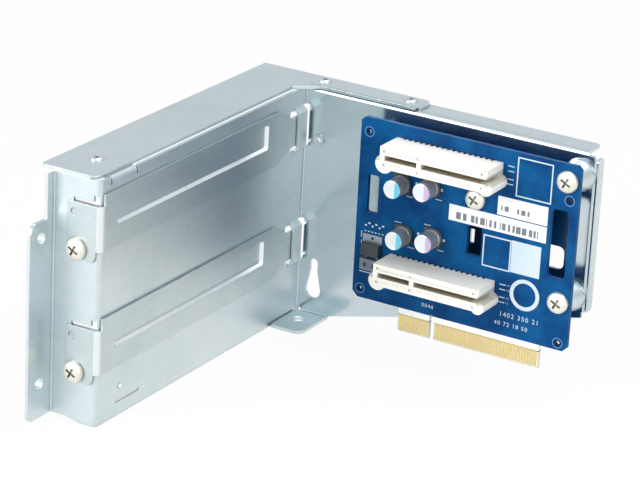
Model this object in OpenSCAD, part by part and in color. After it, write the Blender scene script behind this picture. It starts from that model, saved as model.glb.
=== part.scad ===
// Riser cage bracket: one folded steel sheet with two slot openings, a riveted
// top plate, two slot covers and a riser board that carries two card sockets.
// Millimetres. The modules are drawn from the inner corner of the two walls: X runs
// along the card wall, Y from the open front end (negative) to the card wall, Z up
// from the lower edge. The part's origin is the foot hole, at the foot's underside.

/* [Sheet] */
// steel sheet thickness
sheet_t = 1.0; // [0.8:0.1:1.5]
// inner radius of every fold
fold_r = 0.5; // [0.3:0.1:1.5]
// height of both walls
wall_h = 81; // [60:0.5:90]

/* [Slot wall] */
// length of the slot wall, from the end face to the card wall
slot_len = 119.7; // [110:0.1:125]
// width of the folded end face
end_w = 17; // [14:0.5:25]
// how far the mounting ear reaches in front of the end face
ear_reach = 12.2; // [8:0.1:20]
// height of the wide part of the ear
ear_h = 66.4; // [40:0.1:78]
// width of the narrow strip above it
ear_strip = 3.4; // [2:0.1:8]
// bottom of the ear above the lower edge
ear_low = 1.0; // [0:0.1:5]
// height of the lower ear hole
ear_hole_z = 12.5; // [6:0.1:30]
// distance between the two ear holes
ear_pitch = 48.3; // [20:0.1:56]
// bore of the ear holes
ear_bore = 3.5; // [2.5:0.1:5]
// slot opening length
opening_len = 91.3; // [80:0.1:95]
// slot opening height
opening_h = 12.07; // [10:0.01:14]
// distance from the inner corner to the slot opening
opening_end = 22.5; // [18:0.1:30]

/* [Card wall] */
// length of the card wall
card_len = 107.9; // [90:0.1:130]
// rise of the slanted lower edge from the foot to the far end
slant_rise = 23.5; // [5:0.5:40]
// depth of the top flange
flange_d = 9.0; // [5:0.1:15]
// free end of the top flange
flange_len = 104.5; // [80:0.5:120]
// depth of the folded far end
far_d = 4.5; // [2:0.1:10]
// height of the pressed board posts
post_h = 6.5; // [3:0.1:10]
// foot length along the card wall
foot_x = 12.3; // [8:0.1:20]
// foot length away from the card wall
foot_y = 17.8; // [8:0.1:25]
// bore of the foot hole
foot_bore = 3.2; // [2:0.1:5]
// distance of the foot hole from the slot wall, and from the card wall
foot_hole_x = 5.6; // [4:0.1:9]
foot_hole_y = 7.6; // [5:0.1:12]

/* [Top plate] */
// outer edge of the top plate behind the slot wall
plate_out = 22.5; // [16:0.1:30]
// gap between the slot wall and the inner edge of the plate
plate_gap = 0.9; // [0.3:0.1:4]
// end of the plate along the card wall
plate_end = 42.5; // [20:0.5:80]
// back edge of the plate
plate_back = 9.6; // [6:0.1:15]
// rivet shank diameter
rivet_d = 2.4; // [1.5:0.1:4]

/* [Slots and covers] */
// distance between neighbouring slots
slot_pitch = 40.64; // [20.32:20.32:60.96]
// centre height of the lower slot cover
cover_z = 26.8; // [20:0.1:35]
// cover sheet thickness
cover_t = 0.86; // [0.7:0.01:1.2]
// cover width
cover_w = 18.42; // [16:0.01:21.6]
// cover length over all, tab to tongue
cover_len = 120.02; // [79.2:0.01:120.02]
// tongue width
tongue_w = 10.19; // [8:0.01:12]
// length of the bent tab
tab_len = 11.43; // [10:0.01:13]
// pressed rib: length, width and depth
rib_len = 87.6; // [40:0.1:95]
rib_w = 9.0; // [4:0.1:11]
rib_d = 1.2; // [0.3:0.1:2]
// screw head diameter
screw_head = 7.0; // [5:0.1:9]
// screw shank diameter
screw_d = 3.4; // [2.5:0.1:4]

/* [Riser board] */
// board thickness
board_t = 1.57; // [1.0:0.01:2.4]
// left edge, width, lower edge and height of the board
board_x = 26.0; // [10:0.1:40]
board_w = 80.0; // [60:0.1:100]
board_z = 15.0; // [5:0.1:30]
board_h = 63.3; // [40:0.1:70]
// start and length of the edge connector
edge_x = 44.0; // [30:0.1:60]
edge_len = 52.2; // [20:0.1:89]
// how far the edge connector reaches below the board
edge_drop = 8.3; // [5:0.1:10]
// height of the gold contacts
pad_h = 5.6; // [3:0.1:7]
// length of the first contact group and width of the key notch
group_len = 11.65; // [8:0.01:20]
key_w = 1.9; // [1:0.01:3]

/* [Card sockets] */
// position of the socket key from the slot wall
socket_key = 54.0; // [45:0.1:60]
// centre height of the lower socket
socket_z = 29.4; // [25:0.01:35]
// socket length, width and height above the board
socket_len = 39.0; // [25:0.1:89]
socket_w = 7.5; // [6:0.1:9]
socket_h = 11.25; // [8:0.01:15]
// width and depth of the card slot
mouth_w = 1.8; // [1.6:0.05:2.4]
mouth_d = 8.4; // [6:0.1:10]

/* [Capacitors] */
// can diameter
can_d = 6.3; // [4:0.1:10]
// height of a capacitor above the board
can_h = 7.7; // [5:0.1:12]
// side of the square base
can_base = 6.6; // [4:0.1:11]

/* [Hidden] */
$fn = 48;
fold_o = fold_r + sheet_t;
zu = cover_z + slot_pitch;
board_back = -post_h;
board_front = -post_h - board_t;
tab_front = -slot_len - cover_t;
tongue_z = -0.4;
rib_z = 2.3;
rib_end = 24.4;
tab_up = 5.6;
tab_down = 12.8;
screw_x = -7.7;
screw_z = -9.4;
tongue_end = -slot_len - cover_t + cover_len;
hole_gap = 0.05;
ear_x = -end_w - sheet_t;
posts = [[101.8, 72.6], [101.8, 31.4], [69.8, 59.4]];
rivets = [[-11.5, -105.5], [3.6, 5.4], [36.5, 5.6]];
cans = [[42.7, 58.4], [53.5, 59.8], [44.4, 40.9], [55.3, 42.5]];
tooling = [[29.2, 73.4], [28.8, 18.2], [102.8, 66.2], [102.6, 17.4]];
steel = [0.72, 0.76, 0.79];
cover_c = [0.66, 0.71, 0.74];
nickel = [0.86, 0.84, 0.78];
blue = [0.03, 0.22, 0.50];
ivory = [0.93, 0.92, 0.84];
gold = [0.85, 0.70, 0.32];
can_c = [0.80, 0.83, 0.86];
dark = [0.12, 0.14, 0.16];
paper = [0.95, 0.95, 0.93];

// quarter fold standing on Z, from angle 0 to 90, turned by a
module fold(len, a = 0)
    rotate([0, 0, a]) rotate_extrude(angle = 90) translate([fold_r, 0]) square([sheet_t, len]);

// flat sheet in the XZ plane, front face at y, from a 2D outline
module sheet_xz(y, t = sheet_t) translate([0, y + t, 0]) rotate([90, 0, 0]) linear_extrude(t) children();

// flat sheet in the YZ plane, low face at x, from a 2D outline
module sheet_yz(x, t = sheet_t) translate([x, 0, 0]) rotate([90, 0, 90]) linear_extrude(t) children();

// rectangle with rounded corners, exact arcs
module round_rect(x0, z0, w, h, r) {
    translate([x0 + r, z0]) square([w - 2 * r, h]);
    translate([x0, z0 + r]) square([w, h - 2 * r]);
    for (x = [x0 + r, x0 + w - r], z = [z0 + r, z0 + h - r]) translate([x, z]) circle(r);
}

// hole along Y
module hole_y(x, z, d, y0, y1) translate([x, y1, z]) rotate([90, 0, 0]) cylinder(d = d, h = y1 - y0);

// hole along X
module hole_x(y, z, d, x0, x1) translate([x0, y, z]) rotate([0, 90, 0]) cylinder(d = d, h = x1 - x0);

// ---- bracket sheet ----

module slot_wall() {
    // wall with a tab folded out near the front, two small reliefs beside it
    difference() {
        translate([-sheet_t, -slot_len + fold_o, 0]) cube([sheet_t, slot_len - fold_o - fold_r, wall_h]);
        translate([-2, -114.3, wall_h - fold_o]) cube([3, 14.6, fold_o + 1]);
        for (y = [-114.3, -100.5]) translate([-2, y, wall_h - fold_o - 1]) cube([3, 0.8, 3]);
    }
    translate([-fold_o, -100.5, wall_h - fold_o]) rotate([90, 0, 0]) fold(13);
    translate([-16, -113.5, wall_h - sheet_t]) cube([16 - fold_o, 13, sheet_t]);
    // fold into the card wall
    translate([fold_r, -fold_r, 0]) fold(wall_h, 90);
}

module slot_cuts(z) {
    // opening for a card's connectors
    translate([-2, -opening_end - opening_len, 0])
        sheet_yz(0, 4) translate([0, 0]) round_rect(0, z + rib_z - opening_h / 2, opening_len, opening_h, 1);
    // window behind the strap, and the corner slot that takes the tongue
    translate([-2, -10, z - 7.45]) cube([3, 10.1, 14.1]);
    translate([-2, -2.2, z - 7.35]) cube([2 + 1.4, 4, 14.7]);
}

module strap(z) {
    // bridge pressed inwards, the tongue slides behind it
    translate([0, -2.2, z]) rotate([90, 0, 0]) linear_extrude(5)
        polygon([[-1, -8.45], [0, -8.45], [1.95, -6.75], [1.95, 5.95], [0, 7.65], [-1, 7.65],
            [-1, 6.65], [-0.4, 6.65], [0.95, 5.45], [0.95, -6.25], [-0.4, -7.45], [-1, -7.45]]);
}

module end_face() {
    translate([-fold_o, -slot_len + fold_o, 0]) fold(wall_h, -90);
    sheet_xz(-slot_len) polygon([[-fold_o, 0], [-6, 0], [-12, ear_low], [-end_w + fold_r, ear_low],
        [-end_w + fold_r, wall_h], [-fold_o, wall_h]]);
}

module end_cuts(z) {
    // slit over the tab and the notch across the fold
    translate([-9.8, -slot_len - 1, z + tab_up]) cube([7.8, 3, 1.1]);
    translate([-2.4, -slot_len - 1, z + tab_up]) cube([2.0, 3, 3.0]);
    hole_y(screw_x, z + screw_z, screw_d + 2 * hole_gap, -slot_len - 1, -slot_len + 4);
}

module ear() {
    y1 = -slot_len - ear_reach;
    translate([-end_w + fold_r, -slot_len - fold_r, ear_low]) fold(wall_h - ear_low, 90);
    difference() {
        union() {
            sheet_yz(ear_x) {
                translate([-slot_len - ear_strip, ear_low]) square([ear_strip - fold_r, wall_h - ear_low]);
                translate([y1 + 2.5, ear_low]) square([ear_reach - fold_r - 2.5, ear_h - ear_low - 0.1]);
                translate([y1, ear_low + 2.5]) square([3, 60]);
                translate([y1 + 2.5, ear_low + 2.5]) circle(2.5);
                polygon([[y1, 63], [y1 + 1, 65.4], [y1 + 3.2, 66.3], [y1 + 4, 66.3], [y1 + 4, 60], [y1, 60]]);
            }
            // rims drawn out round the two holes
            for (z = [ear_hole_z, ear_hole_z + ear_pitch])
                hole_x(-slot_len - 6.4, z, ear_bore + 1.8, ear_x - 1.2, ear_x + 0.5);
        }
        for (z = [ear_hole_z, ear_hole_z + ear_pitch]) {
            hole_x(-slot_len - 6.4, z, ear_bore, ear_x - 3, ear_x + 3);
            translate([-end_w - 0.35, -slot_len - 6.4, z]) rotate([0, 90, 0]) cylinder(d1 = ear_bore, d2 = ear_bore + 0.9, h = 0.45);
        }
    }
}

module card_wall() {
    x1 = card_len - fold_o;
    sheet_xz(0) {
        polygon([[fold_r, fold_o], [foot_x, fold_o], [foot_x, 1], [x1, 1 + slant_rise], [x1, wall_h - fold_o],
            [2.4, wall_h - fold_o], [2.4, wall_h], [fold_r, wall_h]]);
    }
    // top flange, folded away from the cards
    translate([2.4, fold_o, wall_h - fold_o]) rotate([90, 0, 90]) fold(flange_len - 2.4, 90);
    translate([0, fold_o, wall_h - sheet_t]) difference() {
        cube([flange_len, flange_d - fold_o, sheet_t]);
        translate([flange_len - 2, flange_d - fold_o - 2, -1]) difference() {
            cube([3, 3, 3]);
            cylinder(r = 2, h = 3);
        }
    }
    // far end, folded the same way
    z0 = 1 + slant_rise + 2;
    translate([x1, fold_o, z0]) fold(wall_h - fold_o - z0 - 1, -90);
    sheet_yz(card_len - sheet_t) round_rect(fold_o - 1.2, z0, far_d - fold_o + 1.2, wall_h - fold_o - z0 - 1, 1.1);
    // foot
    translate([1.8, -fold_r, fold_o]) rotate([90, 0, 90]) fold(foot_x - 1.8, -90);
    difference() {
        translate([0.3, 0, 0]) linear_extrude(sheet_t) {
            translate([0, -foot_y + 3]) square([foot_x - 0.3, foot_y - 3 - fold_r - 1.6]);
            translate([1.5, -4]) square([foot_x - 1.8, 4 - fold_r]);
            translate([1, -foot_y]) square([foot_x - 0.3 - 4, 4]);
            translate([1, -foot_y + 1]) circle(1);
            translate([0, -foot_y + 1]) square([2, 3]);
            translate([foot_x - 3.3, -foot_y + 3]) circle(3);
        }
        translate([foot_hole_x, -foot_hole_y, -1]) cylinder(d = foot_bore, h = 4);
        translate([foot_hole_x, -foot_hole_y, sheet_t - 0.4]) cylinder(d1 = foot_bore, d2 = foot_bore + 1.4, h = 0.41);
    }
}

module post(p) {
    // board post pressed out of the card wall, hollow from the back
    translate([p[0], 0.2, p[1]]) rotate([90, 0, 0]) cylinder(r1 = 5.6, r2 = 3.7, h = post_h + 0.2);
}

module post_cut(p) {
    translate([p[0], 1.01, p[1]]) rotate([90, 0, 0]) cylinder(r1 = 4.8, r2 = 2.7, h = post_h + 0.01);
    hole_y(p[0], p[1], screw_d + 2 * hole_gap, -post_h - 2, 1);
}

module keyhole(x, z) {
    sheet_xz(-2, 6) {
        translate([x, z]) circle(2.9);
        translate([x, z + 10]) circle(1.45);
        polygon([[x - 2.85, z + 0.6], [x - 1.45, z + 7], [x - 1.45, z + 10], [x + 1.45, z + 10],
            [x + 1.45, z + 7], [x + 2.85, z + 0.6]]);
    }
}

module bracket_sheet() color(steel) {
    difference() {
        union() {
            slot_wall();
            end_face();
            card_wall();
            for (p = posts) post(p);
            // drawn rim of the small hole beside the corner
            hole_y(5.7, 63.1, 3.8, -0.8, 0.5);
        }
        for (z = [cover_z, zu]) {
            slot_cuts(z);
            end_cuts(z);
        }
        for (p = posts) post_cut(p);
        hole_y(5.7, 63.1, 2.0, -2, 3);
        keyhole(6.1, 9.1);
        sheet_xz(-2, 6) {
            round_rect(90.5, 39.2, 8.2, 7.7, 2);
            round_rect(64.6, 40.7, 1.4, 4.8, 0.2);
        }
        // dimple and shallow press line near the front lower corner
        translate([0.01, -106.9, 10]) rotate([0, -90, 0]) cylinder(d1 = 2.4, d2 = 1.2, h = 0.6);
        translate([-0.2, -109.1, 4.5]) cube([1, 13, 0.8]);
        // rivet holes
        for (r = rivets) translate([r[0], r[1], wall_h - 3]) cylinder(d = rivet_d + 2 * hole_gap, h = 5);
        // relief at the inner corner above the foot
        translate([0.9, -0.6, 0.6]) cylinder(r = 0.9, h = 1.4);
    }
    for (z = [cover_z, zu]) strap(z);
    ear();
}

// ---- top plate and rivets ----

module top_plate() color(steel) {
    x1 = -sheet_t - plate_gap;
    difference() {
        translate([0, 0, wall_h]) linear_extrude(sheet_t) {
            translate([-plate_out, -slot_len + 2]) square([plate_out + x1, slot_len + plate_back - 3]);
            translate([-plate_out + 1.5, -slot_len + 0.4]) square([plate_out + x1 - 4.5, 4]);
            translate([-plate_out + 1.5, -slot_len + 1.9]) circle(1.5);
            difference() {
                translate([x1 - 3.2, -slot_len + 0.4]) square([3.2, 3.2]);
                difference() {
                    translate([x1 - 3.2, -slot_len + 0.4]) square([4, 3.2]);
                    translate([x1 - 3.2, -slot_len + 3.6]) circle(3.2);
                }
            }
            // arm over the card wall
            translate([-plate_out + 1, -0.2]) square([plate_out + plate_end - 4, plate_back + 0.2]);
            translate([-plate_out + 1, plate_back - 1]) circle(1);
            translate([plate_end - 4, 2.6]) square([4, plate_back - 5.8]);
            translate([plate_end - 2.8, 2.6]) circle(2.8);
            translate([plate_end - 3.2, plate_back - 3.2]) circle(3.2);
            // filled inner corner
            polygon([[x1 - 0.5, -6.5], [x1, -6.5], [5.2, -0.2], [5.2, 0.5], [x1 - 0.5, 0.5]]);
        }
        // square corner at the front is cut to the round one
        translate([x1 - 3.2, -slot_len + 0.4, wall_h - 1]) difference() {
            translate([0, -1, 0]) cube([4, 4.2, 3]);
            translate([0, 3.2, -1]) cylinder(r = 3.2, h = 5);
        }
        for (r = rivets) translate([r[0], r[1], wall_h - 1]) cylinder(d = rivet_d + 2 * hole_gap, h = 3);
    }
}

module plate_rivets() color(nickel)
    for (r = rivets) translate([r[0], r[1], 0]) difference() {
        rotate_extrude() polygon([[0, wall_h - 1.9], [1.9, wall_h - 1.9], [2.0, wall_h - 1.2], [2.0, wall_h - 1.0],
            [rivet_d / 2, wall_h - 1.0], [rivet_d / 2, wall_h + 1], [2.3, wall_h + 1], [2.2, wall_h + 1.35],
            [1.7, wall_h + 1.65], [0, wall_h + 1.7]]);
        translate([0, 0, wall_h + 1.0]) cylinder(d = 1.5, h = 1);
    }

// ---- slot covers ----

// shallow pressing from the face at x towards -X, round corners r, drafted sides,
// far end at y, centre height z, length l, width w
module pressed(x, y, z, l, w, r, d) {
    s = 0.55 * d;
    translate([x, y - r, z - w / 2]) rotate([90, 0, 0]) linear_extrude(l - 2 * r)
        polygon([[0, 0], [-d, s], [-d, w - s], [0, w]]);
    translate([x, y, z - w / 2 + r]) linear_extrude(w - 2 * r)
        polygon([[0, 0], [-d, -s], [-d, s - l], [0, -l]]);
    for (a = [-r, r - l], b = [r - w / 2, w / 2 - r])
        translate([x, y + a, z + b]) rotate([0, -90, 0]) cylinder(r1 = r, r2 = r - s, h = d);
}

module slot_cover(z) color(cover_c) {
    y0 = -slot_len + fold_o;
    hw = cover_w / 2;
    rz = z + rib_z;
    tz = z + tongue_z;
    difference() {
        union() {
            sheet_yz(0, cover_t) polygon([[y0, z - hw], [-18.6, z - hw], [-9.9, tz - tongue_w / 2],
                [tongue_end, tz - tongue_w / 2], [tongue_end, tz + tongue_w / 2],
                [-9.9, tz + tongue_w / 2], [-18.6, z + hw], [y0, z + hw]]);
            // pressed rib, proud on the outside
            pressed(0, -rib_end, rz, rib_len, rib_w + 0.4, 1.6, rib_d);
            // bend over the end of the slot wall, and the tab
            translate([-fold_o, y0, z - hw]) rotate([0, 0, -90])
                rotate_extrude(angle = 90) translate([fold_o, 0]) square([cover_t, hw + tab_up]);
            sheet_xz(tab_front, cover_t) {
                translate([-tab_len, z + screw_z]) square([tab_len - fold_o, tab_up - screw_z - 1.2]);
                translate([-tab_len + 1.2, z + screw_z]) square([tab_len - fold_o - 1.2, tab_up - screw_z]);
                translate([-tab_len + 1.2, z + tab_up - 1.2]) circle(1.2);
                translate([-5.4, z - tab_down + 2.2]) square([4.4, 2]);
                translate([-3.2, z - tab_down + 2.2]) circle(2.2);
                translate([-tab_len, z - tab_down + 2.0]) square([1.5, 2]);
            }
        }
        pressed(cover_t, -rib_end - 0.35, rz, rib_len - 0.7, rib_w - 0.3, 1.25, rib_d);
        // notch for the screw, open downwards, and a pressed dimple
        hole_y(screw_x, z + screw_z, 4.42, tab_front - 1, -slot_len + 1);
        translate([screw_x - 2.21, tab_front - 1, z + screw_z - 6]) cube([4.42, 3, 6]);
        hole_y(-9.0, z + 2.3, 2.6, tab_front - 1, tab_front + 0.35);
    }
}

module slot_cover_upper() slot_cover(zu);
module slot_cover_lower() slot_cover(cover_z);

// pan head screw, head towards -Y at y0, shank to y1
module pan_screw(x, z, y0, y1, d) color(nickel)
    translate([x, y0, z]) difference() {
        rotate([90, 0, 0]) {
            rotate_extrude() polygon([[0, 0], [d / 2, 0], [d / 2, 0.9], [d / 2 - 0.25, 1.5], [d / 2 - 0.8, 1.95],
                [d / 2 - 1.7, 2.25], [0, 2.35]]);
            translate([0, 0, y0 - y1]) cylinder(d = screw_d, h = y1 - y0 + 0.5);
        }
        rotate([0, 28, 0]) {
            translate([-1.9, -3, -0.35]) cube([3.8, 1.9, 0.7]);
            translate([-0.35, -3, -1.9]) cube([0.7, 1.9, 3.8]);
        }
    }

module cover_screw_upper() pan_screw(screw_x, zu + screw_z, tab_front, -slot_len + 4, screw_head);
module cover_screw_lower() pan_screw(screw_x, cover_z + screw_z, tab_front, -slot_len + 4, screw_head);
module board_screw_top() pan_screw(posts[0][0], posts[0][1], board_front, 0.2, screw_head + 0.3);
module board_screw_bottom() pan_screw(posts[1][0], posts[1][1], board_front, 0.2, screw_head + 0.3);
module board_screw_middle() pan_screw(posts[2][0], posts[2][1], board_front, 0.2, screw_head);

// ---- riser board ----

module riser_board() color(blue) {
    zt = board_z + board_h;
    x1 = board_x + board_w;
    difference() {
        sheet_xz(board_front, board_t) difference() {
            union() {
                polygon([[board_x + 2, board_z], [x1 - 1.5, board_z], [x1, board_z + 1.5], [x1, zt - 1.2],
                    [x1 - 1.2, zt], [board_x + 1.4, zt], [board_x, zt - 1.4], [board_x, board_z + 2]]);
                translate([edge_x, board_z - edge_drop]) square([edge_len, edge_drop + 1]);
            }
            translate([edge_x + group_len, board_z - edge_drop - 1]) square([key_w, edge_drop + 0.4]);
            translate([edge_x + group_len + key_w / 2, board_z - 0.6]) circle(key_w / 2);
            // slots through the board
            round_rect(29.7, 45.6, 4.1, 13.2, 0.8);
            round_rect(67.4, 39.8, 5.4, 10.1, 0.8);
            round_rect(96.8, 39.2, 6.4, 23.3, 1.6);
            for (p = tooling) translate(p) circle(d = 1.6);
            for (p = posts) translate(p) circle(d = screw_d + 4 * hole_gap);
        }
        // bevelled lower edge
        for (s = [0, 1]) translate([edge_x - 1, s ? board_back : board_front, board_z - edge_drop])
            rotate([s ? 45 : -45, 0, 0]) translate([0, -0.35, -0.35]) cube([edge_len + 2, 0.7, 0.7]);
    }
}

// gold contacts on one side of the edge connector
module edge_contacts(y) color(gold) {
    z0 = board_z - edge_drop + 0.7;
    for (i = [0:10]) translate([edge_x + 0.5 + i, y, z0]) cube([0.7, 0.08, pad_h]);
    for (i = [0:37]) translate([edge_x + group_len + key_w + 0.45 + i, y, z0]) cube([0.7, 0.08, pad_h]);
}
module edge_contacts_front() edge_contacts(board_front - 0.08);
module edge_contacts_back() edge_contacts(board_back);

// ---- card sockets ----

socket_x = socket_key - 14.4;
contact_at = [for (i = [0:31]) socket_key + (i < 11 ? i - 11.85 + 0.5 : i - 11 + 1.45)];

module socket_body(z) color(ivory) {
    y1 = board_front - socket_h;
    difference() {
        union() {
            translate([socket_x, y1, z - socket_w / 2]) cube([socket_len, socket_h, socket_w]);
            // round bosses over the board pegs
            hole_y(socket_x + 1.2, z - socket_w / 2 + 1.35, 6.4, y1 + 0.9, board_front);
            hole_y(socket_x + socket_len - 0.6, z - socket_w / 2 + 1.15, 4.8, y1 + 0.9, board_front);
        }
        // card slot in two parts, the long one open at the end
        translate([socket_key - 12.6, y1 - 1, z - mouth_w / 2]) cube([11.8, mouth_d + 1, mouth_w]);
        translate([socket_key + 0.8, y1 - 1, z - mouth_w / 2]) cube([socket_len, mouth_d + 1, mouth_w]);
        // contact chambers on both sides of the slot
        for (x = contact_at, s = [-1, 1])
            translate([x - 0.32, y1 + 0.9, z + s * (mouth_w / 2 + 0.4) - 0.45]) cube([0.64, mouth_d - 0.9, 0.9]);
        // shallow step along the mouth
        for (s = [-1, 1]) translate([socket_x + 2.2, y1 - 1, z + s * 2.15 - 0.3]) cube([socket_len - 5.2, 1.15, 0.6]);
        // small round marks in the front face
        for (x = [socket_x + 1.6, socket_key - 0.4, socket_x + socket_len - 1.7], s = [-1, 1])
            hole_y(x, z + s * 2.35, 0.9, y1 - 1, y1 + 0.5);
        // windows over the solder feet
        for (i = [0:16], s = [-1, 1])
            translate([socket_x + 3.0 + 2 * i - 0.5, board_front - 0.9, z + s * (socket_w / 2 - 0.4) - 0.5])
                cube([1.0, 1.9, 1.0]);
        // chamfered rim at the open end
        translate([socket_x + socket_len, y1, z - 5]) rotate([0, 0, 45]) translate([-0.4, -0.4, 0]) cube([0.8, 0.8, 10]);
    }
}
module socket_body_upper() socket_body(socket_z + slot_pitch);
module socket_body_lower() socket_body(socket_z);

module socket_contacts(z) color(gold) {
    y1 = board_front - socket_h;
    for (x = contact_at, s = [-1, 1])
        translate([x - 0.25, y1 + 1.4, z + s * (mouth_w / 2 + 0.2) - 0.15]) cube([0.5, mouth_d - 1.4, 0.3]);
    // solder feet in their windows
    for (i = [0:16], s = [-1, 1])
        translate([socket_x + 3.0 + 2 * i - 0.25, board_front - 0.3, z + s * (socket_w / 2 + 0.1) - 0.5])
            cube([0.5, 0.3, 1.0]);
}
module socket_contacts_upper() socket_contacts(socket_z + slot_pitch);
module socket_contacts_lower() socket_contacts(socket_z);

// ---- small parts on the board ----

module can(p) translate([p[0], board_front - 1.0, p[1]]) rotate([90, 0, 0])
    rotate_extrude() polygon([[0, 0], [can_d / 2, 0], [can_d / 2, 0.9], [can_d / 2 - 0.25, 1.2], [can_d / 2 - 0.25, 1.5],
        [can_d / 2, 1.8], [can_d / 2, can_h - 1.4], [can_d / 2 - 0.12, can_h - 1.1], [can_d / 2 - 0.4, can_h - 1.0],
        [can_d / 2 - 0.75, can_h - 1.12], [0, can_h - 1.12]]);

module capacitor_cans_upper() color(can_c) for (i = [0, 1]) can(cans[i]);
module capacitor_cans_lower() color(can_c) for (i = [2, 3]) can(cans[i]);

module capacitor_bases() color(dark) {
    h = can_base / 2;
    for (p = cans) translate([p[0], board_front, p[1]]) rotate([90, 0, 0]) linear_extrude(1.0)
        polygon([[-h, -h], [h - 1.4, -h], [h, -h + 1.4], [h, h - 1.4], [h - 1.4, h], [-h, h]]);
}

module regulator_body() color(dark)
    translate([0, board_front, 0]) rotate([90, 0, 0]) linear_extrude(2.2)
        polygon([[29.5, 31.0], [36.0, 31.0], [36.0, 35.2], [29.5, 35.2]]);

module regulator_tab() color(nickel) {
    difference() {
        translate([29.2, board_front - 0.5, 35.2]) cube([7.2, 0.5, 2.9]);
        hole_y(32.8, 36.9, 1.0, board_front - 2, board_front + 1);
    }
    for (x = [30.2, 34.5]) translate([x, board_front - 0.5, 29.9]) cube([0.9, 0.5, 1.1]);
}

module filter_coil() color(steel)
    difference() {
        translate([29.0, board_front - 1.5, 25.6]) cube([7.2, 1.5, 4.0]);
        for (x = [31.0, 34.2]) hole_y(x, 27.6, 1.5, board_front - 3, board_front - 0.7);
    }

module label_upper() color(paper) translate([77.7, board_front - 0.1, 56.0]) cube([18.0, 0.1, 6.4]);
module label_lower() color(paper) translate([60.3, board_front - 0.1, 50.1]) cube([35.4, 0.1, 5.5]);

// moves the part from the inner corner to the foot hole
module place() translate([-foot_hole_x, foot_hole_y, 0]) children();

place() bracket_sheet();
place() top_plate();
place() plate_rivets();
place() slot_cover_upper();
place() slot_cover_lower();
place() cover_screw_upper();
place() cover_screw_lower();
place() riser_board();
place() edge_contacts_front();
place() edge_contacts_back();
place() socket_body_upper();
place() socket_body_lower();
place() socket_contacts_upper();
place() socket_contacts_lower();
place() board_screw_top();
place() board_screw_bottom();
place() board_screw_middle();
place() capacitor_cans_upper();
place() capacitor_cans_lower();
place() capacitor_bases();
place() regulator_body();
place() regulator_tab();
place() filter_coil();
place() label_upper();
place() label_lower();
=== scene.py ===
# looks of the folded riser bracket: steel, blue board, ivory sockets, prints and labels
import math
import bpy
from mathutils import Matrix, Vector


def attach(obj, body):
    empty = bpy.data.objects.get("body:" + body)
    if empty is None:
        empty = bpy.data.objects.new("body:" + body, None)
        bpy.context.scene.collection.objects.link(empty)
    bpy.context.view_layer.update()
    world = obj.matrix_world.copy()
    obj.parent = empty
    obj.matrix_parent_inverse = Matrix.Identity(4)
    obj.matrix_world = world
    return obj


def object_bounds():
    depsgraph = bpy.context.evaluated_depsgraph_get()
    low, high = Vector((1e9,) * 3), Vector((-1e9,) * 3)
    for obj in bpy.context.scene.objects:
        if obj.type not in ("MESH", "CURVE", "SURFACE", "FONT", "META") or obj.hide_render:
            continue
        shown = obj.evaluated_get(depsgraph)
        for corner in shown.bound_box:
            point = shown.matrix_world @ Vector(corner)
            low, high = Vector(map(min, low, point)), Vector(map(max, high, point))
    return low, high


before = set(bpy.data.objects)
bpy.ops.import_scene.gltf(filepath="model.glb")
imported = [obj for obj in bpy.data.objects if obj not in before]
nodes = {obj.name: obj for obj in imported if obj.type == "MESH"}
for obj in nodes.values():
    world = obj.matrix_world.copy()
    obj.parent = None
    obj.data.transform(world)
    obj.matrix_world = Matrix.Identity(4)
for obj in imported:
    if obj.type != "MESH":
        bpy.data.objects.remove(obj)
cadLow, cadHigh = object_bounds()
mm = 0.001
cornerShift = Vector((-5.6, 7.6, 0.0))  # from the inner corner of the walls to the foot hole
boardFront = -8.07  # the board's face that carries the sockets
socketRows = {"lower": 29.4, "upper": 70.04}  # middle height of each socket
reliefDepth = 0.00002


def at(x, y, z):
    return (Vector((x, y, z)) + cornerShift) * mm  # millimetres from the inner corner


# sets or links the inputs of a shader node and hands back its outputs
def feed(tree, node, inputs):
    for key, value in inputs.items():
        if isinstance(value, bpy.types.NodeSocket):
            tree.links.new(value, node.inputs[key])
        else:
            node.inputs[key].default_value = value
    return node.outputs


def put(tree, kind, inputs=None, **settings):
    node = tree.nodes.new(kind)
    for key, value in settings.items():
        setattr(node, key, value)
    return feed(tree, node, inputs or {})


def calc(tree, operation, a, b=0.0, c=0.0):
    return put(tree, "ShaderNodeMath", {0: a, 1: b, 2: c}, operation=operation)[0]


def product(tree, first, *others):
    for other in others:
        first = calc(tree, "MULTIPLY", first, other)
    return first


def between(tree, value, low, high):
    return product(tree, calc(tree, "GREATER_THAN", value, low), calc(tree, "LESS_THAN", value, high))


def blendColor(tree, amount, a, b):
    return put(tree, "ShaderNodeMix", {0: amount, 6: a, 7: b}, data_type="RGBA")[2]


def remap(tree, value, low, high, newLow=0.0, newHigh=1.0):
    return put(tree, "ShaderNodeMapRange", {0: value, 1: low, 2: high, 3: newLow, 4: newHigh})[0]


def noise(tree, vector, scale, detail, **more):
    sockets = {"Vector": vector, "Scale": scale, "Detail": detail}
    sockets.update({key.capitalize(): value for key, value in more.items()})
    return put(tree, "ShaderNodeTexNoise", sockets)[0]


def split(tree, vector):
    return put(tree, "ShaderNodeSeparateXYZ", {0: vector})


def makeGroup(name, takes, gives):
    tree = bpy.data.node_groups.new(name, "ShaderNodeTree")
    for label, kind, start in takes:
        tree.interface.new_socket(label, in_out="INPUT", socket_type=kind).default_value = start
    for label, kind in gives:
        tree.interface.new_socket(label, in_out="OUTPUT", socket_type=kind)
    return tree, tree.nodes.new("NodeGroupInput").outputs, tree.nodes.new("NodeGroupOutput").inputs


def useGroup(tree, group, inputs=None):
    node = tree.nodes.new("ShaderNodeGroup")
    node.node_tree = group
    return feed(tree, node, inputs or {})


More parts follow.
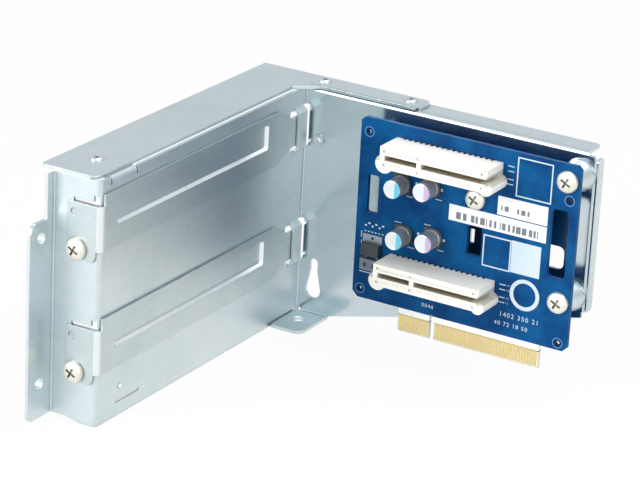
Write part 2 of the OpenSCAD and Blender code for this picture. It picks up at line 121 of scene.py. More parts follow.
def startMaterial(name, **sockets):
    mat = bpy.data.materials.new(name)
    mat.use_nodes = True
    shader = mat.node_tree.nodes["Principled BSDF"]
    for key, value in sockets.items():
        shader.inputs[key.replace("_", " ")].default_value = value
    return mat, mat.node_tree, shader.inputs


def addRelief(tree, into, strength, height, depth=reliefDepth, **normal):
    sockets = {"Strength": strength, "Distance": depth, "Height": height, **normal}
    tree.links.new(put(tree, "ShaderNodeBump", sockets)[0], into["Normal"])


def dress(mat, *names):
    for name in names:
        for slot in nodes[name].material_slots:
            slot.material = mat


# place on the part in millimetres from the inner corner, whole and by axis
cornerTree, _, cornerOut = makeGroup("fromCorner", [], [
    ("Place", "NodeSocketVector"),
    ("X", "NodeSocketFloat"), ("Y", "NodeSocketFloat"), ("Z", "NodeSocketFloat")])
seat = put(cornerTree, "ShaderNodeTexCoord")["Object"]
scaled = put(cornerTree, "ShaderNodeVectorMath", {0: seat, 1: (1000, 1000, 1000), 2: tuple(-cornerShift)},
             operation="MULTIPLY_ADD")[0]
for target, source in zip(cornerOut, (scaled, *split(cornerTree, scaled))):
    cornerTree.links.new(source, target)

# rolled and plated sheet: clouds, flakes and streaks along the rolling direction
grainTree, grainIn, grainOut = makeGroup("rolledSheet", [
    ("Light", "NodeSocketColor", (0.6, 0.66, 0.7, 1)), ("Deep", "NodeSocketColor", (0.45, 0.52, 0.56, 1)),
    ("Smooth", "NodeSocketFloat", 0.2), ("Dull", "NodeSocketFloat", 0.35)],
    [("Color", "NodeSocketColor"), ("Roughness", "NodeSocketFloat"), ("Height", "NodeSocketFloat")])
seat = put(grainTree, "ShaderNodeTexCoord")["Object"]
streakMap = put(grainTree, "ShaderNodeMapping", {0: seat, 3: (40, 40, 1500)})[0]
streak = noise(grainTree, streakMap, 1.0, 3.0, roughness=0.6)
cloud = noise(grainTree, seat, 26.0, 4.0, roughness=0.55)
fine = noise(grainTree, seat, 2600.0, 2.0)
flake = put(grainTree, "ShaderNodeTexVoronoi", {"Vector": seat, "Scale": 420.0})["Color"]
flakeGrey = put(grainTree, "ShaderNodeSeparateColor", {0: flake})[0]
patches = remap(grainTree, cloud, 0.35, 0.68, 0.0, 0.6)
tone = calc(grainTree, "ADD", patches, product(grainTree, flakeGrey, 0.18))
tone = calc(grainTree, "ADD", tone, remap(grainTree, streak, 0.3, 0.7, -0.08, 0.2))
grainTree.links.new(blendColor(grainTree, tone, grainIn["Light"], grainIn["Deep"]), grainOut["Color"])
spread = calc(grainTree, "MULTIPLY_ADD", cloud, 0.55, product(grainTree, fine, 0.45))
rough = remap(grainTree, spread, 0.35, 0.65, grainIn["Smooth"], grainIn["Dull"])
grainTree.links.new(rough, grainOut["Roughness"])
height = calc(grainTree, "MULTIPLY_ADD", streak, 0.7, product(grainTree, fine, 0.3))
grainTree.links.new(height, grainOut["Height"])

# a rounded normal for sharp edges, and a mask of where they are
edgeTree, edgeIn, edgeOut = makeGroup("softEdge", [("Radius", "NodeSocketFloat", 0.0003)], [
    ("Normal", "NodeSocketVector"), ("Edge", "NodeSocketFloat")])
rounded = put(edgeTree, "ShaderNodeBevel", {"Radius": edgeIn["Radius"]}, samples=4)[0]
flat = put(edgeTree, "ShaderNodeNewGeometry")["Normal"]
likeness = put(edgeTree, "ShaderNodeVectorMath", {0: rounded, 1: flat}, operation="DOT_PRODUCT")["Value"]
edgeTree.links.new(rounded, edgeOut["Normal"])
edgeTree.links.new(remap(edgeTree, likeness, 0.995, 0.86), edgeOut["Edge"])

# a ring or a spot seen from the front, round a centre
ringTree, ringIn, ringOut = makeGroup("ringMark", [
    ("Place", "NodeSocketVector", (0, 0, 0)), ("Centre", "NodeSocketVector", (0, 0, 0)),
    ("Inner", "NodeSocketFloat", 0.0), ("Outer", "NodeSocketFloat", 1.0)], [("Mask", "NodeSocketFloat")])
plane = put(ringTree, "ShaderNodeVectorMath", {0: ringIn["Place"], 1: (1, 0, 1)}, operation="MULTIPLY")[0]
away = put(ringTree, "ShaderNodeVectorMath", {0: plane, 1: ringIn["Centre"]}, operation="DISTANCE")["Value"]
ringTree.links.new(between(ringTree, away, ringIn["Inner"], ringIn["Outer"]), ringOut["Mask"])

# moulded or painted surface with a fine speckle
speckTree, speckIn, speckOut = makeGroup("mouldSurface", [
    ("Color", "NodeSocketColor", (0.9, 0.9, 0.8, 1)), ("Shade", "NodeSocketColor", (0.8, 0.8, 0.7, 1)),
    ("Scale", "NodeSocketFloat", 900.0),
    ("Smooth", "NodeSocketFloat", 0.4), ("Dull", "NodeSocketFloat", 0.6)],
    [("Color", "NodeSocketColor"), ("Roughness", "NodeSocketFloat"), ("Height", "NodeSocketFloat")])
seat = put(speckTree, "ShaderNodeTexCoord")["Object"]
fine = noise(speckTree, seat, speckIn["Scale"], 3.0)
cloud = noise(speckTree, seat, 60.0, 2.0)
mixed = calc(speckTree, "MULTIPLY_ADD", cloud, 0.7, product(speckTree, fine, 0.3))
mixed = remap(speckTree, mixed, 0.35, 0.65)
speckTree.links.new(blendColor(speckTree, mixed, speckIn["Color"], speckIn["Shade"]), speckOut["Color"])
rough = remap(speckTree, fine, 0.3, 0.7, speckIn["Smooth"], speckIn["Dull"])
speckTree.links.new(rough, speckOut["Roughness"])
speckTree.links.new(fine, speckOut["Height"])
print("shared effects ready")


# metals, one look for each
# each look's edge colour is a painted highlight laid along its sharp edges
metalLooks = {
    "zincSteel": {
        "light": (0.72, 0.79, 0.81, 1), "deep": (0.58, 0.665, 0.69, 1), "smooth": 0.33, "dull": 0.46,
        "bump": 0.35, "edge": (0.8, 0.86, 0.9, 1), "radius": 0.00016, "metallic": 1.0, "polish": 0.2},
    "coverSteel": {
        "light": (0.64, 0.71, 0.72, 1), "deep": (0.51, 0.59, 0.61, 1), "smooth": 0.32, "dull": 0.46,
        "bump": 0.4, "edge": (0.84, 0.88, 0.9, 1), "radius": 0.00022, "metallic": 1.0, "draft": True},
    "screwNickel": {
        "light": (0.88, 0.85, 0.76, 1), "deep": (0.74, 0.71, 0.62, 1), "smooth": 0.28, "dull": 0.42,
        "bump": 0.25, "edge": (0.97, 0.96, 0.92, 1), "radius": 0.00015, "metallic": 0.75},
    "rivetSteel": {
        "light": (0.78, 0.82, 0.84, 1), "deep": (0.62, 0.68, 0.71, 1), "smooth": 0.2, "dull": 0.34,
        "bump": 0.25, "edge": (0.92, 0.94, 0.95, 1), "radius": 0.00015, "metallic": 1.0},
    "goldPlate": {
        "light": (0.90, 0.70, 0.30, 1), "deep": (0.74, 0.55, 0.20, 1), "smooth": 0.22, "dull": 0.36,
        "bump": 0.2, "edge": (0.98, 0.86, 0.55, 1), "radius": 0.00008, "metallic": 1.0},
    "tinPlate": {
        "light": (0.42, 0.48, 0.54, 1), "deep": (0.30, 0.36, 0.42, 1), "smooth": 0.34, "dull": 0.5,
        "bump": 0.3, "edge": (0.6, 0.64, 0.68, 1), "radius": 0.0001, "metallic": 1.0},
}
sheetLook = {
    "edgeHighlight": 0.3, "nook": 0.62, "nookReach": 0.0016, "nookShadeColor": (0.06, 0.075, 0.09, 1),
    "shadeColor": (0.10, 0.12, 0.14, 1), "shade": 0.55, "shineColor": (0.95, 0.97, 0.98, 1), "shine": 0.7,
    "wallShadeColor": (0.42, 0.50, 0.55, 1), "wall": 0.35, "wallMiddle": 0.2, "wallReach": 1.2, "wallStart": 1.0,
}


def draftShading(tree, color):  # the drafted sides of a pressing read darker above and lighter below
    facing = split(tree, put(tree, "ShaderNodeNewGeometry")["Normal"])
    sloped = calc(tree, "GREATER_THAN", facing[0], 0.3)
    shade = calc(tree, "MAXIMUM", remap(tree, facing[2], -0.15, -0.5), remap(tree, facing[1], 0.15, 0.5))
    shine = calc(tree, "MAXIMUM", remap(tree, facing[2], 0.15, 0.5), remap(tree, facing[1], -0.15, -0.5))
    shade = product(tree, shade, sloped, sheetLook["shade"])
    shine = product(tree, shine, sloped, sheetLook["shine"])
    color = blendColor(tree, shade, color, sheetLook["shadeColor"])
    return blendColor(tree, shine, color, sheetLook["shineColor"])


def sheetMaterial(name):
    look = metalLooks[name]
    mat, tree, into = startMaterial(name, Metallic=look["metallic"])
    tones = {key.capitalize(): look[key] for key in ("light", "deep", "smooth", "dull")}
    grain = useGroup(tree, grainTree, tones)
    edge = useGroup(tree, edgeTree, {"Radius": look["radius"]})
    # painted highlight: sharp edges are lightened towards the edge colour
    color = blendColor(tree, product(tree, edge["Edge"], sheetLook["edgeHighlight"]), grain["Color"], look["edge"])
    # painted shade: the sheet is darkened in folds and corners where ambient occlusion finds nearby surfaces
    nook = put(tree, "ShaderNodeAmbientOcclusion", {"Distance": sheetLook["nookReach"]}, samples=6)["AO"]
    paintedNookShade = remap(tree, nook, 0.35, 0.85, sheetLook["nook"], 0.0)
    color = blendColor(tree, paintedNookShade, color, sheetLook["nookShadeColor"])
    rough = grain["Roughness"]
    if "draft" in look:
        color = draftShading(tree, color)
    if "polish" in look:  # the card wall is the smoother stretch of the sheet, and its colour is darkened there as painted shade
        place = useGroup(tree, cornerTree)
        depth = calc(tree, "ABSOLUTE", calc(tree, "SUBTRACT", place["Y"], sheetLook["wallMiddle"]))
        onWall = calc(tree, "LESS_THAN", depth, sheetLook["wallReach"])
        onWall = product(tree, onWall, calc(tree, "GREATER_THAN", place["X"], sheetLook["wallStart"]))
        rough = calc(tree, "SUBTRACT", rough, product(tree, onWall, look["polish"]))
        color = blendColor(tree, product(tree, onWall, sheetLook["wall"]), color, sheetLook["wallShadeColor"])
    tree.links.new(color, into["Base Color"])
    tree.links.new(rough, into["Roughness"])
    addRelief(tree, into, look["bump"], grain["Height"], Normal=edge["Normal"])
    return mat


screwNickel = sheetMaterial("screwNickel")
dress(sheetMaterial("zincSteel"), "bracket_sheet", "top_plate")
dress(sheetMaterial("rivetSteel"), "plate_rivets")
dress(sheetMaterial("coverSteel"), "slot_cover_upper", "slot_cover_lower")
dress(screwNickel, "cover_screw_upper", "cover_screw_lower")
dress(screwNickel, "board_screw_top", "board_screw_bottom", "board_screw_middle")
dress(sheetMaterial("goldPlate"), "edge_contacts_front", "edge_contacts_back")
dress(sheetMaterial("tinPlate"), "regulator_tab")

springLook = {
    "Light": (0.80, 0.62, 0.28, 1), "Deep": (0.62, 0.46, 0.18, 1), "Smooth": 0.3, "Dull": 0.45,
}
solderAndShadeLook = {"color": (0.035, 0.04, 0.055, 1), "reach": 0.6}
springPlate, tree, into = startMaterial("springPlate", Metallic=0.8)
place = useGroup(tree, cornerTree)
grain = useGroup(tree, grainTree, springLook)
# the solder feet lie next to the board; their near-black colour is partly the tails' own tin and partly
# painted shade of the gaps between housing and board
foot = calc(tree, "GREATER_THAN", place["Y"], boardFront - solderAndShadeLook["reach"])
tree.links.new(blendColor(tree, foot, grain["Color"], solderAndShadeLook["color"]), into["Base Color"])
tree.links.new(grain["Roughness"], into["Roughness"])
dress(springPlate, "socket_contacts_upper", "socket_contacts_lower")
print("metals ready")


# blue board with its edge connector
boardLook = {
    "mask": (0.0, 0.040, 0.155, 1), "maskLight": (0.001, 0.088, 0.255, 1), "holeShade": (0.0, 0.016, 0.07, 1),
    "via": (0.05, 0.17, 0.36, 1), "rim": (0.09, 0.22, 0.42, 1), "traces": 0.22, "vias": 0.35,
    "laminate": (0.80, 0.78, 0.62, 1), "bareEdge": (0.97, 0.98, 0.97, 1), "line": (0.035, 0.045, 0.05, 1),
    "edgeTop": 15.0, "padTop": 12.95, "lineWidth": 0.35, "specular": 0.10,
    "roughness": (0.30, 0.42), "relief": 0.5, "reliefDepth": 0.00003,
    "holes": [(29.2, 73.4), (28.8, 18.2), (102.8, 66.2), (102.6, 17.4)],
    "holeDark": {"Inner": 0.8, "Outer": 1.35}, "holeRim": {"Inner": 1.45, "Outer": 1.85},
}
traceLook = {
    "Color1": (1, 1, 1, 1), "Color2": (0.55, 0.55, 0.55, 1), "Mortar": (0, 0, 0, 1), "Scale": 1.0,
    "Mortar Size": 0.09, "Brick Width": 7.0, "Row Height": 0.62,
}
blueBoard, tree, into = startMaterial("blueBoard")
into["Specular IOR Level"].default_value = boardLook["specular"]
place = useGroup(tree, cornerTree)
cloud = noise(tree, place["Place"], 0.09, 3.0, roughness=0.6)
traceTurn = (0, math.radians(45), 0)
traceMap = put(tree, "ShaderNodeMapping", {0: place["Place"], 2: traceTurn, 3: (0.55, 1, 0.55)})[0]
traceParts = split(tree, traceMap)
tracePlane = put(tree, "ShaderNodeCombineXYZ", {0: traceParts[0], 1: traceParts[2]})[0]
bricks = put(tree, "ShaderNodeTexBrick", {"Vector": tracePlane, **traceLook})[0]
region = remap(tree, noise(tree, place["Place"], 0.13, 1.0), 0.5, 0.53)
traces = product(tree, put(tree, "ShaderNodeSeparateColor", {0: bricks})[0], region)
viaCells = put(tree, "ShaderNodeTexVoronoi", {"Vector": place["Place"], "Scale": 0.28, "Randomness": 1.0})
via = remap(tree, viaCells["Distance"], 0.085, 0.06)
blue = blendColor(tree, remap(tree, cloud, 0.35, 0.65), boardLook["mask"], boardLook["maskLight"])
blue = blendColor(tree, product(tree, traces, boardLook["traces"]), blue, boardLook["maskLight"])
blue = blendColor(tree, product(tree, via, boardLook["vias"]), blue, boardLook["via"])
# each hole gets a dark ring of painted shade, for the gap seen through the hole, and a printed rim round it
for x, z in boardLook["holes"]:
    for ring, paint in (("holeDark", "holeShade"), ("holeRim", "rim")):
        centre = {"Place": place["Place"], "Centre": (x, 0, z)}
        mask = useGroup(tree, ringTree, {**centre, **boardLook[ring]})["Mask"]
        blue = blendColor(tree, mask, blue, boardLook[paint])
below = calc(tree, "LESS_THAN", place["Z"], boardLook["edgeTop"])
padZone = calc(tree, "LESS_THAN", place["Z"], boardLook["padTop"])
lineZone = between(tree, place["Z"], boardLook["padTop"] - boardLook["lineWidth"], boardLook["padTop"])
surface = blendColor(tree, below, blue, boardLook["bareEdge"])
surface = blendColor(tree, padZone, surface, boardLook["laminate"])
surface = blendColor(tree, lineZone, surface, boardLook["line"])
tree.links.new(surface, into["Base Color"])
tree.links.new(remap(tree, cloud, 0.3, 0.7, *boardLook["roughness"]), into["Roughness"])
addRelief(tree, into, boardLook["relief"], calc(tree, "ADD", traces, via), boardLook["reliefDepth"])
dress(blueBoard, "riser_board")
print("board ready")


# moulded parts and board paint
mouldLooks = {
    "ivory": {
        "Color": (0.97, 0.955, 0.875, 1), "Shade": (0.93, 0.905, 0.81, 1),
        "Scale": 900.0, "Smooth": 0.38, "Dull": 0.52},
    "blackMould": {
        "Color": (0.030, 0.034, 0.040, 1), "Shade": (0.06, 0.066, 0.072, 1),
        "Scale": 900.0, "Smooth": 0.4, "Dull": 0.6},
    "greyFerrite": {
        "Color": (0.16, 0.19, 0.24, 1), "Shade": (0.27, 0.31, 0.37, 1),
        "Scale": 1500.0, "Smooth": 0.5, "Dull": 0.7},
    "legendPaint": {
        "Color": (0.62, 0.72, 0.79, 1), "Shade": (0.53, 0.64, 0.72, 1),
        "Scale": 2200.0, "Smooth": 0.4, "Dull": 0.55},
}
socketLook = {
    "face": 11.0, "pitchStart": 0.1, "dotWidth": 0.45, "dotRise": (1.75, 2.2), "dotsAlong": (42.6, 75.6),
    "dots": 0.55, "dotShadeColor": (0.42, 0.36, 0.27, 1),
    "spotsAlong": (41.2, 53.6, 76.9), "spotRise": 2.35, "spot": {"Inner": 0.0, "Outer": 0.46},
    "spotColor": (0.10, 0.075, 0.05, 1),
    "mouth": 0.5, "mouthHalf": 1.6, "mouthDepth": 11.05, "mouthShadeColor": (0.30, 0.26, 0.18, 1),
}


def mouldMaterial(name, look, bump, radius=0.0002):
    mat, tree, into = startMaterial(name)
    skin = useGroup(tree, speckTree, look)
    edge = useGroup(tree, edgeTree, {"Radius": radius})
    tree.links.new(skin["Color"], into["Base Color"])
    tree.links.new(skin["Roughness"], into["Roughness"])
    addRelief(tree, into, bump, skin["Height"], Normal=edge["Normal"])
    return mat


def ivoryMaterial(name, z):
    mat = mouldMaterial(name, mouldLooks["ivory"], 0.3)
    tree = mat.node_tree
    into = tree.nodes["Principled BSDF"].inputs
    place = useGroup(tree, cornerTree)
    face = calc(tree, "LESS_THAN", place["Y"], boardFront - socketLook["face"])
    away = calc(tree, "ABSOLUTE", calc(tree, "SUBTRACT", place["Z"], z))
    # painted shade: dotted rows beside the slot stand for the shaded contact recesses
    row = between(tree, away, *socketLook["dotRise"])
    step = calc(tree, "FRACT", calc(tree, "ADD", place["X"], socketLook["pitchStart"]))
    step = calc(tree, "LESS_THAN", step, socketLook["dotWidth"])
    along = between(tree, place["X"], *socketLook["dotsAlong"])
    dotted = product(tree, row, step, along, face, socketLook["dots"])
    color = blendColor(tree, dotted, into["Base Color"].links[0].from_socket, socketLook["dotShadeColor"])
    for x in socketLook["spotsAlong"]:  # dark spots in three places along the socket
        for rise in (-socketLook["spotRise"], socketLook["spotRise"]):
            centre = {"Place": place["Place"], "Centre": (x, 0, z + rise)}
            spot = useGroup(tree, ringTree, {**centre, **socketLook["spot"]})["Mask"]
            color = blendColor(tree, product(tree, spot, face), color, socketLook["spotColor"])
    # painted shade inside the card slot, behind the socket's front face
    inMouth = calc(tree, "LESS_THAN", away, socketLook["mouthHalf"])
    behind = calc(tree, "GREATER_THAN", place["Y"], boardFront - socketLook["mouthDepth"])
    mouth = product(tree, inMouth, behind, socketLook["mouth"])
    tree.links.new(blendColor(tree, mouth, color, socketLook["mouthShadeColor"]), into["Base Color"])
    return mat


dress(ivoryMaterial("ivoryUpper", socketRows["upper"]), "socket_body_upper")
dress(ivoryMaterial("ivoryLower", socketRows["lower"]), "socket_body_lower")
dress(mouldMaterial("blackMould", mouldLooks["blackMould"], 0.6), "capacitor_bases", "regulator_body")
dress(mouldMaterial("greyFerrite", mouldLooks["greyFerrite"], 0.8), "filter_coil")

# capacitor cans: the paint stripes start and end this far from each can's middle
canLook = {
    "skin": {"Light": (0.42, 0.43, 0.45, 1), "Deep": (0.30, 0.32, 0.35, 1), "Smooth": 0.34, "Dull": 0.48},
    "lid": (0.80, 0.84, 0.86, 1), "lidFront": -15.55, "stripe": (1.0, 2.95), "metallic": 0.45,
    "paints": ((0.16, 0.62, 0.80, 1), (0.62, 0.48, 0.74, 1)),
    "upper": ((42.7, 58.4), (53.5, 59.8)), "lower": ((44.4, 40.9), (55.3, 42.5)),
}


def canMaterial(name, pair):
    mat, tree, into = startMaterial(name, Metallic=canLook["metallic"])
    place = useGroup(tree, cornerTree)
    onLid = calc(tree, "LESS_THAN", place["Y"], canLook["lidFront"])
    skin = useGroup(tree, grainTree, canLook["skin"])
    color = blendColor(tree, onLid, skin["Color"], canLook["lid"])
    for (x, _), paint in zip(pair, canLook["paints"]):
        stripe = between(tree, place["X"], *(x + edge for edge in canLook["stripe"]))
        color = blendColor(tree, product(tree, stripe, onLid), color, paint)
    tree.links.new(color, into["Base Color"])
    tree.links.new(skin["Roughness"], into["Roughness"])
    addRelief(tree, into, 0.3, skin["Height"])
    return mat


dress(canMaterial("canUpper", canLook["upper"]), "capacitor_cans_upper")
dress(canMaterial("canLower", canLook["lower"]), "capacitor_cans_lower")

# paper labels with a band of upright bars
labelLooks = {
    "labelUpperPaper": {"rise": (57.6, 59.3), "along": (79.0, 94.5), "cell": 0.75, "share": 0.4},
    "labelLowerPaper": {"rise": (51.0, 53.4), "along": (63.0, 93.6), "cell": 0.42, "share": 0.42},
}
paperLook = {
    "Color": (0.86, 0.87, 0.87, 1), "Shade": (0.81, 0.82, 0.82, 1),
    "Scale": 2500.0, "Smooth": 0.45, "Dull": 0.6,
}
inkColor = (0.17, 0.18, 0.20, 1)


def labelMaterial(name):
    look = labelLooks[name]
    mat, tree, into = startMaterial(name, Roughness=0.5)
    place = useGroup(tree, cornerTree)
    column = calc(tree, "FLOOR", calc(tree, "DIVIDE", place["X"], look["cell"]))
    chance = put(tree, "ShaderNodeTexWhiteNoise", {"W": column}, noise_dimensions="1D")[0]
    ink = calc(tree, "GREATER_THAN", chance, look["share"])
    upright = between(tree, place["Z"], *look["rise"])
    bars = product(tree, ink, upright, between(tree, place["X"], *look["along"]))
    paper = useGroup(tree, speckTree, paperLook)
    tree.links.new(blendColor(tree, bars, paper["Color"], inkColor), into["Base Color"])
    addRelief(tree, into, 0.3, paper["Height"], 0.00001)
    return mat


dress(labelMaterial("labelUpperPaper"), "label_upper")
dress(labelMaterial("labelLowerPaper"), "label_lower")
print("moulded parts and labels ready")


def clearAll():
    if bpy.context.object and bpy.context.object.mode != "OBJECT":
        bpy.ops.object.mode_set(mode="OBJECT")
    bpy.ops.object.select_all(action="DESELECT")


def seatPiece(obj, name, mat):
    clearAll()
    obj.select_set(True)
    bpy.context.view_layer.objects.active = obj
    bpy.ops.object.transform_apply(location=True, rotation=True, scale=True)
    obj.name = obj.data.name = name
    obj.data.materials.clear()
    obj.data.materials.append(mat)
    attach(obj, "root")


def joinAs(pieces):
    clearAll()
    for piece in pieces:
        piece.select_set(True)
    bpy.context.view_layer.objects.active = pieces[0]
    bpy.ops.object.join()
    return bpy.context.object


# printed marks on the board, in millimetres from the inner corner
legendLook = {
    "thick": 0.03, "frameWidth": 0.45, "frames": ((83.7, 63.5, 96.4, 76.9), (73.4, 37.3, 83.6, 48.2)),
    "square": (83.75, 37.5, 94.3, 48.4), "ring": (89.6, 30.7, 4.7, 1.35),
    "tick": 0.32, "ticksAlong": (80.4, 82.6), "tickRises": (-3.2, -1.5, 1.2, 2.9),
    "firstPin": 11, "pinLeft": 83.0, "pinDrop": 0.1, "pinSize": 0.9,
    "dots": ((47.8, 59.5), (57.1, 59.4), (49.5, 42.4), (59.0, 42.3)), "dot": (0.28, 0.5),
    "texts": (("1402 350 21", 81.0, 21.6, 2.3), ("40 72 18 50", 79.4, 18.4, 2.0), ("0046", 52.4, 17.6, 1.9)),
    "textThick": 0.02, "spacing": 1.25,
    "chips": 6, "chipPitch": 1.3, "chipLeft": 29.4, "chipStep": 0.9,
    "chipTop": (0.8, 40.6, 41.2), "chipBottom": (0.7, 38.7, 39.1),
    "strokes": ((28.3, 31.0, 28.6, 35.4), (28.2, 24.2, 35.8, 24.5), (28.2, 36.4, 28.5, 38.6)),
    "canMarks": ((-3.9, 3.7, -1.4, 3.95), (1.5, -4.1, 3.9, -3.85)),
}


def printedBar(x0, z0, x1, z1):
    thick = legendLook["thick"]
    clearAll()
    middle = at((x0 + x1) / 2, boardFront - thick / 2, (z0 + z1) / 2)
    bpy.ops.mesh.primitive_cube_add(size=1, location=middle)
    bar = bpy.context.object
    bar.scale = ((x1 - x0) * mm, thick * mm, (z1 - z0) * mm)
    bpy.ops.object.transform_apply(location=False, rotation=False, scale=True)
    return bar


def printedFrame(x0, z0, x1, z1):
    w = legendLook["frameWidth"]
    return [printedBar(x0, z0, x1, z0 + w), printedBar(x0, z1 - w, x1, z1),
            printedBar(x0, z0 + w, x0 + w, z1 - w), printedBar(x1 - w, z0 + w, x1, z1 - w)]


def printedRing(x, z, radius, width):
    thick = legendLook["thick"]
    clearAll()
    bpy.ops.mesh.primitive_torus_add(
        major_segments=64, minor_segments=8, major_radius=radius * mm, minor_radius=width / 2 * mm,
        rotation=(math.pi / 2, 0, 0), location=at(x, boardFront - thick / 2, z))
    ring = bpy.context.object
    bpy.ops.object.transform_apply(location=False, rotation=True, scale=False)
    ring.scale = (1, thick / width, 1)
    bpy.ops.object.transform_apply(location=False, rotation=False, scale=True)
    return ring


def printedDigits(body, x, z, size):
    thick = legendLook["textThick"]
    clearAll()
    bpy.ops.object.text_add(location=at(x, boardFront - thick / 2, z), rotation=(math.pi / 2, 0, 0))
    text = bpy.context.object
    text.data.body = body
    text.data.size = size * mm
    text.data.extrude = thick / 2 * mm
    text.data.space_character = legendLook["spacing"]
    text.data.resolution_u = 3
    bpy.ops.object.convert(target="MESH")
    bpy.ops.object.transform_apply(location=False, rotation=True, scale=False)
    return bpy.context.object


legend = []
for corners in legendLook["frames"]:
    legend += printedFrame(*corners)
legend += [printedBar(*legendLook["square"]), printedRing(*legendLook["ring"])]
left, right = legendLook["ticksAlong"]
for z in socketRows.values():  # pin marks beside each socket
    for rise in legendLook["tickRises"]:
        legend += [printedBar(left, z + rise, right, z + rise + legendLook["tick"])]
legend += [printedRing(x, z, *legendLook["dot"]) for x, z in legendLook["dots"]]
legend += [printedDigits(*line) for line in legendLook["texts"]]
for i, rise in enumerate(legendLook["tickRises"]):  # pin numbers beside the lower socket
    number = str(legendLook["firstPin"] + i)
    z = socketRows["lower"] + rise - legendLook["pinDrop"]
    legend += [printedDigits(number, legendLook["pinLeft"], z, legendLook["pinSize"])]
for i in range(legendLook["chips"]):  # small component outlines beside the regulator
    x = legendLook["chipLeft"] + legendLook["chipPitch"] * i
    for name, step in (("chipTop", legendLook["chipStep"] * (i % 2)), ("chipBottom", 0.0)):
        width, low, high = legendLook[name]
        legend += [printedBar(x, low + step, x + width, high + step)]
legend += [printedBar(*corners) for corners in legendLook["strokes"]]
for x, z in canLook["upper"] + canLook["lower"]:  # two corner marks beside every capacitor
    for x0, z0, x1, z1 in legendLook["canMarks"]:
        legend += [printedBar(x + x0, z + z0, x + x1, z + z1)]
legendPaint = mouldMaterial("legendPaint", mouldLooks["legendPaint"], 0.3, 0.00002)
seatPiece(joinAs(legend), "boardLegend", legendPaint)
print("printed marks ready")


# threads on the free ends of the screws
threadLook = {
    "pitch": 0.6, "radius": 1.72, "tooth": 0.2, "steps": 24,
    "coverX": -7.7, "coverRises": (58.04, 17.4), "coverReach": (-118.5, -116.0),
    "boardScrews": ((101.8, 72.6), (101.8, 31.4), (69.8, 59.4)), "boardReach": (-5.2, -0.2),
}


def screwThread(x, z, yStart, yEnd):
    clearAll()
    turns = (yEnd - yStart) / threadLook["pitch"]
    bpy.ops.mesh.primitive_circle_add(
        vertices=3, radius=threadLook["tooth"] * mm, fill_type="NOTHING",
        location=(threadLook["radius"] * mm, 0, 0), rotation=(math.pi / 2, 0, 0))
    thread = bpy.context.object
    bpy.ops.object.transform_apply()
    wind = thread.modifiers.new("wind", "SCREW")
    wind.angle = 2 * math.pi * turns
    wind.screw_offset = (yEnd - yStart) * mm
    wind.steps = wind.render_steps = int(threadLook["steps"] * turns)
    wind.use_normal_calculate = True
    bpy.ops.object.modifier_apply(modifier="wind")
    thread.rotation_euler = (-math.pi / 2, 0, 0)
    thread.location = at(x, yStart, z)
    bpy.ops.object.transform_apply()
    return thread


threads = [screwThread(threadLook["coverX"], z, *threadLook["coverReach"]) for z in threadLook["coverRises"]]
threads += [screwThread(x, z, *threadLook["boardReach"]) for x, z in threadLook["boardScrews"]]
seatPiece(joinAs(threads), "screwThreads", screwNickel)
print("threads ready")


# white floor and studio
studioLook = {
    "floorSize": 8, "floorDrop": 0.0004, "floorColor": (0.82, 0.82, 0.82, 1), "floorGlow": 0.93,
    "level": 0.64, "front": 0.55, "above": 0.22, "redBlue": (0.96, 1.02),
    "softColor": (0.95, 0.98, 1, 1), "soft": 0.55, "white": (1, 1, 1, 1),
}
clearAll()
bpy.ops.mesh.primitive_plane_add(size=studioLook["floorSize"], location=(0, 0, -studioLook["floorDrop"]))
floor = bpy.context.object
floor.name = "floor"
floorMat = bpy.data.materials.new("floorWhite")
floorMat.use_nodes = True
tree = floorMat.node_tree
tree.nodes.clear()
rays = put(tree, "ShaderNodeLightPath")
direct = calc(tree, "MAXIMUM", rays["Is Camera Ray"], rays["Is Glossy Ray"])
seen = calc(tree, "MAXIMUM", direct, rays["Is Transmission Ray"])
paint = put(tree, "ShaderNodeBsdfDiffuse", {"Color": studioLook["floorColor"]})[0]
glow = put(tree, "ShaderNodeEmission", {"Color": studioLook["white"], "Strength": 1.0})[0]
lit = product(tree, seen, studioLook["floorGlow"])
floorMix = put(tree, "ShaderNodeMixShader", {0: lit, 1: paint, 2: glow})[0]
tree.links.new(floorMix, tree.nodes.new("ShaderNodeOutputMaterial").inputs[0])
floor.data.materials.append(floorMat)

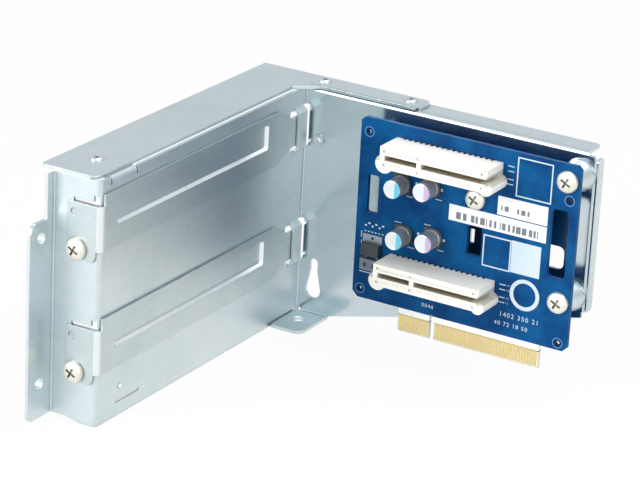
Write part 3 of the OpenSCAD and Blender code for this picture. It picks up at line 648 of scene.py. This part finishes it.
# the camera sees white, mirrors see a gradient, and the rest is lit softly
world = bpy.data.worlds.new("studio")
bpy.context.scene.world = world
world.use_nodes = True
tree = world.node_tree
tree.nodes.clear()
rays = put(tree, "ShaderNodeLightPath")
seen = calc(tree, "MAXIMUM", rays["Is Camera Ray"], rays["Is Transmission Ray"])
heading = split(tree, put(tree, "ShaderNodeTexCoord")["Generated"])
front = remap(tree, heading[1], 0.1, -0.95, 0.0, studioLook["front"])
above = remap(tree, heading[2], 0.0, 1.0, 0.0, studioLook["above"])
level = calc(tree, "ADD", studioLook["level"], calc(tree, "ADD", front, above))
red, blue = (product(tree, level, share) for share in studioLook["redBlue"])
studio = put(tree, "ShaderNodeCombineColor", {0: red, 1: level, 2: blue})[0]
mirrored = put(tree, "ShaderNodeBackground", {"Color": studio, "Strength": 1.0})[0]
softLight = {"Color": studioLook["softColor"], "Strength": studioLook["soft"]}
soft = put(tree, "ShaderNodeBackground", softLight)[0]
white = put(tree, "ShaderNodeBackground", {"Color": studioLook["white"], "Strength": 1.0})[0]
softMix = put(tree, "ShaderNodeMixShader", {0: rays["Is Glossy Ray"], 1: soft, 2: mirrored})[0]
worldMix = put(tree, "ShaderNodeMixShader", {0: seen, 1: softMix, 2: white})[0]
tree.links.new(worldMix, tree.nodes.new("ShaderNodeOutputWorld").inputs[0])

lamps = {
    "keyLamp": {"place": (-0.50, -0.95, 0.42), "size": 0.7, "power": 10.0},
    "topLamp": {"place": (0.35, 0.15, 1.1), "size": 0.8, "power": 6.0},
    "sideLamp": {"place": (0.95, -0.55, 0.45), "size": 0.6, "power": 2.5},
}
middle = (cadLow + cadHigh) / 2
for name, look in lamps.items():
    data = bpy.data.lights.new(name, "AREA")
    data.size, data.energy = look["size"], look["power"]
    lamp = bpy.data.objects.new(name, data)
    bpy.context.scene.collection.objects.link(lamp)
    lamp.location = look["place"]
    lamp.rotation_euler = (middle - Vector(look["place"])).to_track_quat("-Z", "Y").to_euler()

eye = {
    "place": (0.47371, -0.81198, 0.39134), "turn": (68.942, -2.8, 30.981), "lens": 168.75, "sensor": 36,
    "nearest": 0.01, "farthest": 20,
}
camera = bpy.data.objects.new("camera", bpy.data.cameras.new("camera"))
bpy.context.scene.collection.objects.link(camera)
camera.location = eye["place"]
camera.rotation_euler = [math.radians(angle) for angle in eye["turn"]]
camera.data.lens = eye["lens"]
camera.data.sensor_width = eye["sensor"]
camera.data.clip_start = eye["nearest"]
camera.data.clip_end = eye["farthest"]
bpy.context.scene.camera = camera
bpy.context.scene.view_settings.view_transform = "Standard"
print("light and camera ready")
